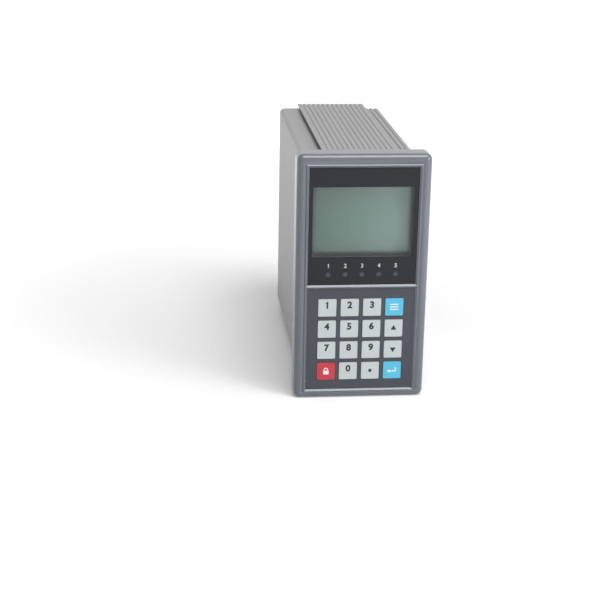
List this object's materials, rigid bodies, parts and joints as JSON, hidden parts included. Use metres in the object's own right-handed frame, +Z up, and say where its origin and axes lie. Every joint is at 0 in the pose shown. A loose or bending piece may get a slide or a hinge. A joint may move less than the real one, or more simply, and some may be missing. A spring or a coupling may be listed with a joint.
{
  "type": "weigh feeder controller",
  "caption": "Panel instrument with a graphic display, a square keypad, a ribbed extruded case behind the panel and plug-in terminals, mains inlet, switch and fuse at the rear.",
  "frame": {"origin": "centre of the bounding box at its bottom, where the bezel's lower edge and the bottom band rest", "axes": "+X to the right seen from the front, +Y from the display towards the rear terminals, +Z up"},
  "size_m": [0.0842, 0.1962, 0.16],
  "materials": {
    "bezel": "satin",
    "lens": "glossy",
    "rubber": "matte",
    "screw": "satin",
    "black_metal": "satin",
    "display": "glossy",
    "light_guide": "matte",
    "board": "satin",
    "lamp": "glossy",
    "keypad_face": "satin",
    "black_plastic": "satin",
    "key_white": "satin",
    "key_blue": "satin",
    "key_red": "satin",
    "case_metal": "satin",
    "rear_metal": "satin",
    "tinplate": "satin",
    "core_iron": "matte",
    "copper": "satin",
    "sleeve": "glossy",
    "heatsink": "matte",
    "relay": "satin",
    "ribbon": "satin",
    "terminal": "satin",
    "brass": "satin",
    "rocker": "glossy",
    "lead": "satin"
  },
  "bodies": {
    "housing": {"front_bezel": "bezel", "display_lens": "lens", "panel_gasket": "rubber", "bezel_screws": "screw", "lcd_frame": "black_metal", "lcd_glass": "display", "lcd_backlight": "light_guide", "lcd_board": "board", "lcd_screws": "screw", "status_lamps": "lamp", "keypad_overlay": "keypad_face", "keypad_board": "board", "keypad_screws": "screw", "key_switches": "black_plastic", "case_shell": "case_metal", "side_cover": "case_metal", "rear_panel": "rear_metal", "rear_screws": "screw", "main_board": "board", "main_chips": "black_plastic", "amplifier_shield": "tinplate", "power_board": "board", "transformer_core": "core_iron", "transformer_winding": "copper", "capacitors": "sleeve", "regulator_heatsink": "heatsink", "output_relays": "relay", "ribbon_cable": "ribbon", "terminal_headers": "terminal", "terminal_plugs": "terminal", "terminal_screws": "screw", "serial_connector": "tinplate", "serial_jackscrews": "screw", "inlet_body": "black_plastic", "inlet_pins": "brass", "inlet_screws": "screw", "switch_frame": "black_plastic", "fuse_holder": "black_plastic", "earth_stud": "brass", "mains_leads": "lead"},
    "key_1": {"key_1": "key_white"},
    "key_2": {"key_2": "key_white"},
    "key_3": {"key_3": "key_white"},
    "key_menu": {"key_menu": "key_blue"},
    "key_4": {"key_4": "key_white"},
    "key_5": {"key_5": "key_white"},
    "key_6": {"key_6": "key_white"},
    "key_up": {"key_up": "key_white"},
    "key_7": {"key_7": "key_white"},
    "key_8": {"key_8": "key_white"},
    "key_9": {"key_9": "key_white"},
    "key_down": {"key_down": "key_white"},
    "key_lock": {"key_lock": "key_red"},
    "key_0": {"key_0": "key_white"},
    "key_f": {"key_f": "key_white"},
    "key_enter": {"key_enter": "key_blue"},
    "rocker": {"switch_rocker": "rocker"},
    "fuse_carrier": {"fuse_cap": "black_plastic", "glass_fuse": "brass"}
  },
  "joints": [
    {"name": "key_1_press", "type": "slide", "parent": "housing", "child": "key_1", "axis": [0, 1, 0], "range_m": [0, 0.0005], "stiffness_N_per_m": 4000, "springref_m": -0.0001},
    {"name": "key_2_press", "type": "slide", "parent": "housing", "child": "key_2", "axis": [0, 1, 0], "range_m": [0, 0.0005], "stiffness_N_per_m": 4000, "springref_m": -0.0001},
    {"name": "key_3_press", "type": "slide", "parent": "housing", "child": "key_3", "axis": [0, 1, 0], "range_m": [0, 0.0005], "stiffness_N_per_m": 4000, "springref_m": -0.0001},
    {"name": "key_menu_press", "type": "slide", "parent": "housing", "child": "key_menu", "axis": [0, 1, 0], "range_m": [0, 0.0005], "stiffness_N_per_m": 4000, "springref_m": -0.0001},
    {"name": "key_4_press", "type": "slide", "parent": "housing", "child": "key_4", "axis": [0, 1, 0], "range_m": [0, 0.0005], "stiffness_N_per_m": 4000, "springref_m": -0.0001},
    {"name": "key_5_press", "type": "slide", "parent": "housing", "child": "key_5", "axis": [0, 1, 0], "range_m": [0, 0.0005], "stiffness_N_per_m": 4000, "springref_m": -0.0001},
    {"name": "key_6_press", "type": "slide", "parent": "housing", "child": "key_6", "axis": [0, 1, 0], "range_m": [0, 0.0005], "stiffness_N_per_m": 4000, "springref_m": -0.0001},
    {"name": "key_up_press", "type": "slide", "parent": "housing", "child": "key_up", "axis": [0, 1, 0], "range_m": [0, 0.0005], "stiffness_N_per_m": 4000, "springref_m": -0.0001},
    {"name": "key_7_press", "type": "slide", "parent": "housing", "child": "key_7", "axis": [0, 1, 0], "range_m": [0, 0.0005], "stiffness_N_per_m": 4000, "springref_m": -0.0001},
    {"name": "key_8_press", "type": "slide", "parent": "housing", "child": "key_8", "axis": [0, 1, 0], "range_m": [0, 0.0005], "stiffness_N_per_m": 4000, "springref_m": -0.0001},
    {"name": "key_9_press", "type": "slide", "parent": "housing", "child": "key_9", "axis": [0, 1, 0], "range_m": [0, 0.0005], "stiffness_N_per_m": 4000, "springref_m": -0.0001},
    {"name": "key_down_press", "type": "slide", "parent": "housing", "child": "key_down", "axis": [0, 1, 0], "range_m": [0, 0.0005], "stiffness_N_per_m": 4000, "springref_m": -0.0001},
    {"name": "key_lock_press", "type": "slide", "parent": "housing", "child": "key_lock", "axis": [0, 1, 0], "range_m": [0, 0.0005], "stiffness_N_per_m": 4000, "springref_m": -0.0001},
    {"name": "key_0_press", "type": "slide", "parent": "housing", "child": "key_0", "axis": [0, 1, 0], "range_m": [0, 0.0005], "stiffness_N_per_m": 4000, "springref_m": -0.0001},
    {"name": "key_f_press", "type": "slide", "parent": "housing", "child": "key_f", "axis": [0, 1, 0], "range_m": [0, 0.0005], "stiffness_N_per_m": 4000, "springref_m": -0.0001},
    {"name": "key_enter_press", "type": "slide", "parent": "housing", "child": "key_enter", "axis": [0, 1, 0], "range_m": [0, 0.0005], "stiffness_N_per_m": 4000, "springref_m": -0.0001},
    {"name": "rocker_tip", "type": "hinge", "parent": "housing", "child": "rocker", "pos_m": [-0.0145, 0.087, 0.049], "axis": [1, 0, 0], "range_deg": [0, 16]},
    {"name": "fuse_turn", "type": "hinge", "parent": "housing", "child": "fuse_carrier", "pos_m": [0.0145, 0.0926, 0.049], "axis": [0, 1, 0], "range_deg": [0, 60]}
  ]
}
